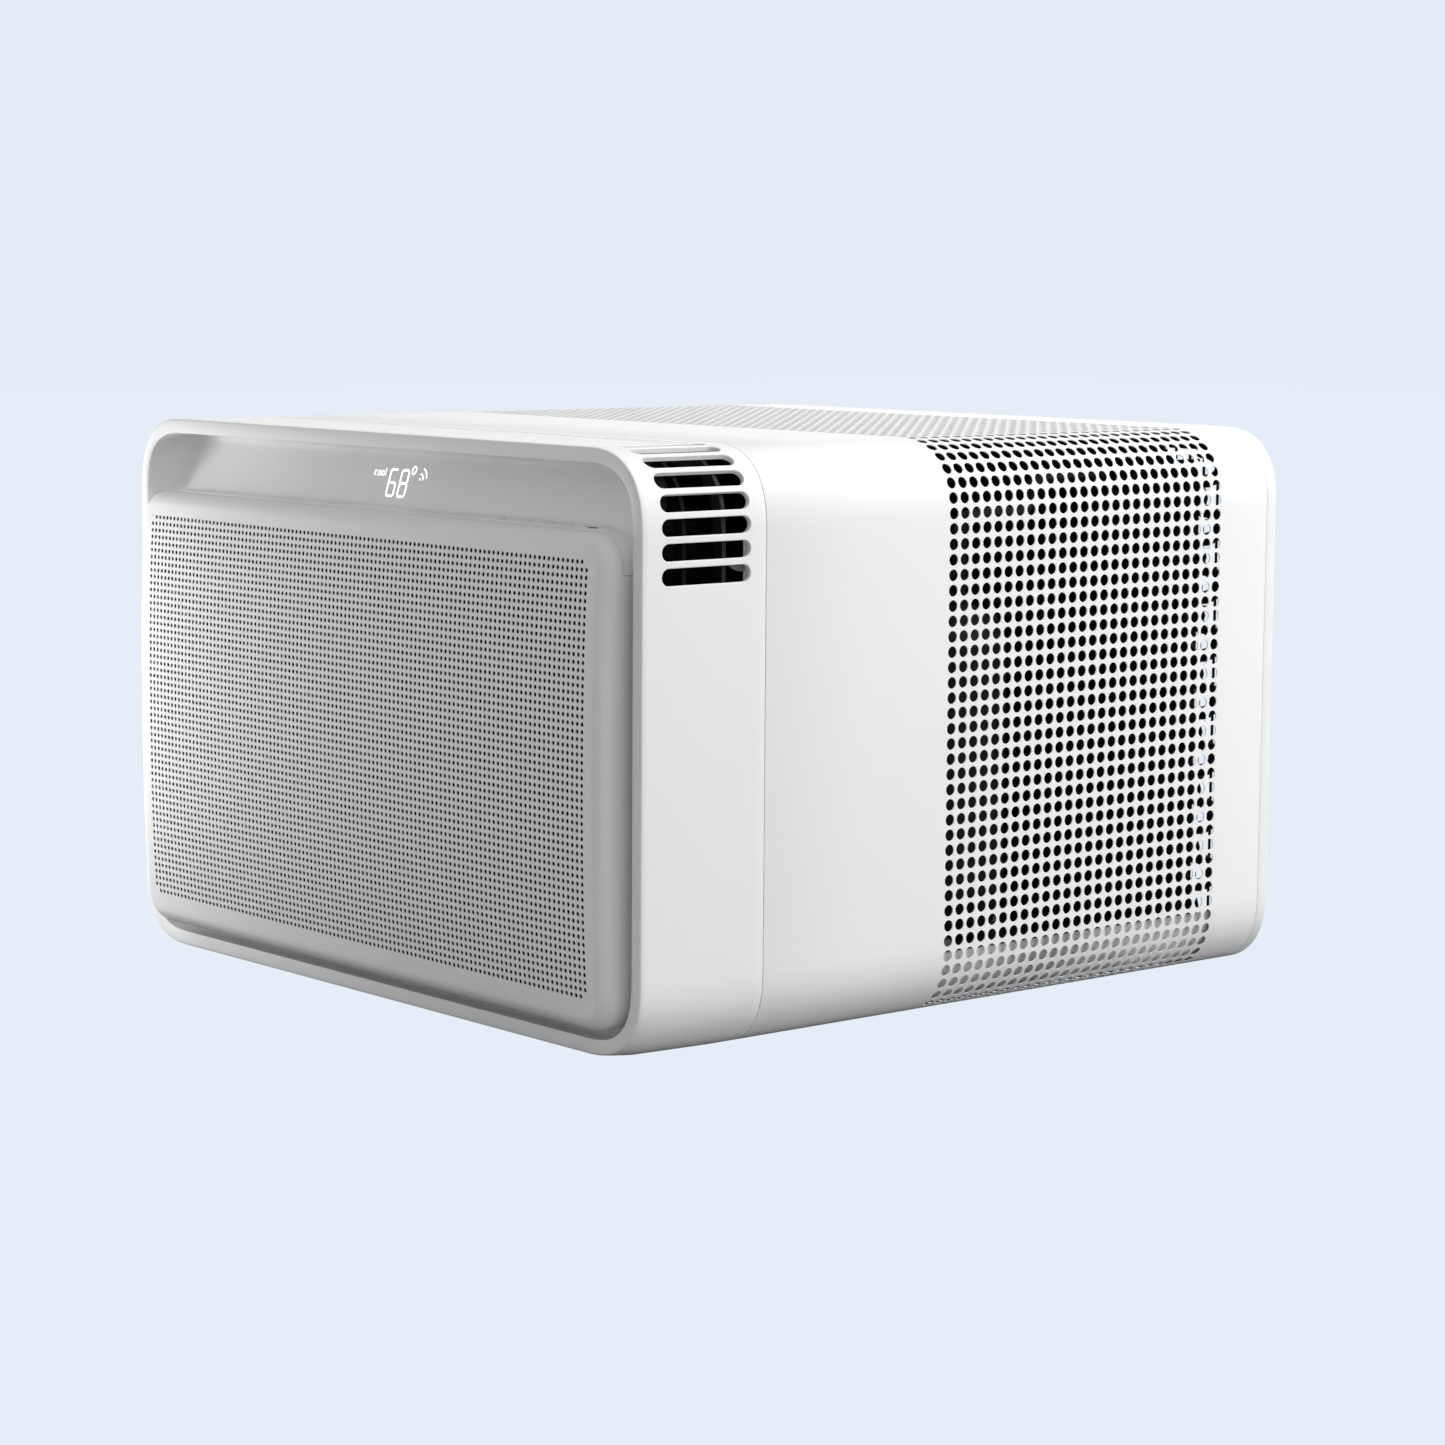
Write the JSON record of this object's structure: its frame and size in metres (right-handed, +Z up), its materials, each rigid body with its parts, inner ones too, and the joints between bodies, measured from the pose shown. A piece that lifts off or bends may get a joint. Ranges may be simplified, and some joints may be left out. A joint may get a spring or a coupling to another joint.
{
  "type": "window air conditioner",
  "caption": "Box window air conditioner with a tilting perforated intake panel, wrap-round outlet slots, shelf buttons and a fan rotor inside.",
  "frame": {"origin": "on the ground under the middle of the whole object", "axes": "+Z up; the front with the intake panel faces -Y; +X is to the right seen from the front"},
  "size_m": [0.5124, 0.5258, 0.34],
  "materials": {
    "white_plastic": "satin, very finely textured",
    "white_paint": "satin powder coat",
    "black_plastic": "matte",
    "zinc_steel": "zinc-plated sheet",
    "aluminium": "mill finish fins",
    "copper": "bare copper tube",
    "dark_paint": "satin black paint",
    "rubber": "matte",
    "circuit": "solder mask",
    "filter_cloth": "woven mesh",
    "smoked_window": "gloss"
  },
  "bodies": {
    "chassis": {"front_shell": "white_plastic", "recess_tray": "white_plastic", "rear_frame": "white_plastic", "cabinet_sleeve": "white_paint", "outlet_duct": "black_plastic", "outlet_rib_front": "black_plastic", "outlet_rib_rear": "black_plastic", "scroll_housing": "black_plastic", "terminal_cover": "black_plastic", "fan_shroud": "black_plastic", "hinge_pin_left": "zinc_steel", "hinge_pin_right": "zinc_steel", "base_pan": "zinc_steel", "rear_screw_1": "zinc_steel", "rear_screw_2": "zinc_steel", "rear_screw_3": "zinc_steel", "rear_screw_4": "zinc_steel", "motor_bracket": "zinc_steel", "bulkhead": "zinc_steel", "compressor_nut_1": "zinc_steel", "compressor_nut_2": "zinc_steel", "compressor_nut_3": "zinc_steel", "control_box": "zinc_steel", "evaporator_coil": "aluminium", "condenser_coil": "aluminium", "run_capacitor": "aluminium", "evaporator_header": "copper", "condenser_header": "dark_paint", "discharge_tube": "dark_paint", "liquid_tube": "dark_paint", "rear_guard": "dark_paint", "fan_motor": "dark_paint", "compressor": "dark_paint", "accumulator": "dark_paint", "suction_tube": "rubber", "front_seal": "rubber", "drain_plug": "rubber", "cord_gland": "rubber", "grommet_1": "rubber", "grommet_2": "rubber", "grommet_3": "rubber", "display_board": "circuit", "button_board": "circuit", "control_board": "circuit", "sensor_window": "smoked_window"},
    "intake_panel_body": {"intake_panel": "white_plastic", "filter_frame": "black_plastic", "filter_mesh": "filter_cloth", "panel_catch_left": "zinc_steel", "panel_catch_right": "zinc_steel"},
    "button_1_body": {"button_1": "white_plastic"},
    "button_2_body": {"button_2": "white_plastic"},
    "button_3_body": {"button_3": "white_plastic"},
    "button_4_body": {"button_4": "white_plastic"},
    "button_5_body": {"button_5": "white_plastic"},
    "rotor": {"motor_shaft": "zinc_steel", "blower_wheel": "black_plastic", "condenser_fan": "black_plastic"}
  },
  "joints": [
    {"name": "panel_tilt", "type": "hinge", "parent": "chassis", "child": "intake_panel_body", "pos_m": [0, -0.2371, 0.025], "axis": [1, 0, 0], "range_deg": [0, 20]},
    {"name": "button_1_press", "type": "slide", "parent": "chassis", "child": "button_1_body", "axis": [0, 0, -1], "range_m": [0, 0.0012], "stiffness_N_per_m": 350, "springref_m": -0.0004},
    {"name": "button_2_press", "type": "slide", "parent": "chassis", "child": "button_2_body", "axis": [0, 0, -1], "range_m": [0, 0.0012], "stiffness_N_per_m": 350, "springref_m": -0.0004},
    {"name": "button_3_press", "type": "slide", "parent": "chassis", "child": "button_3_body", "axis": [0, 0, -1], "range_m": [0, 0.0012], "stiffness_N_per_m": 350, "springref_m": -0.0004},
    {"name": "button_4_press", "type": "slide", "parent": "chassis", "child": "button_4_body", "axis": [0, 0, -1], "range_m": [0, 0.0012], "stiffness_N_per_m": 350, "springref_m": -0.0004},
    {"name": "button_5_press", "type": "slide", "parent": "chassis", "child": "button_5_body", "axis": [0, 0, -1], "range_m": [0, 0.0012], "stiffness_N_per_m": 350, "springref_m": -0.0004},
    {"name": "rotor_spin", "type": "hinge", "parent": "chassis", "child": "rotor", "pos_m": [-0.035, 0.0629, 0.165], "axis": [0, 1, 0], "continuous": true}
  ]
}
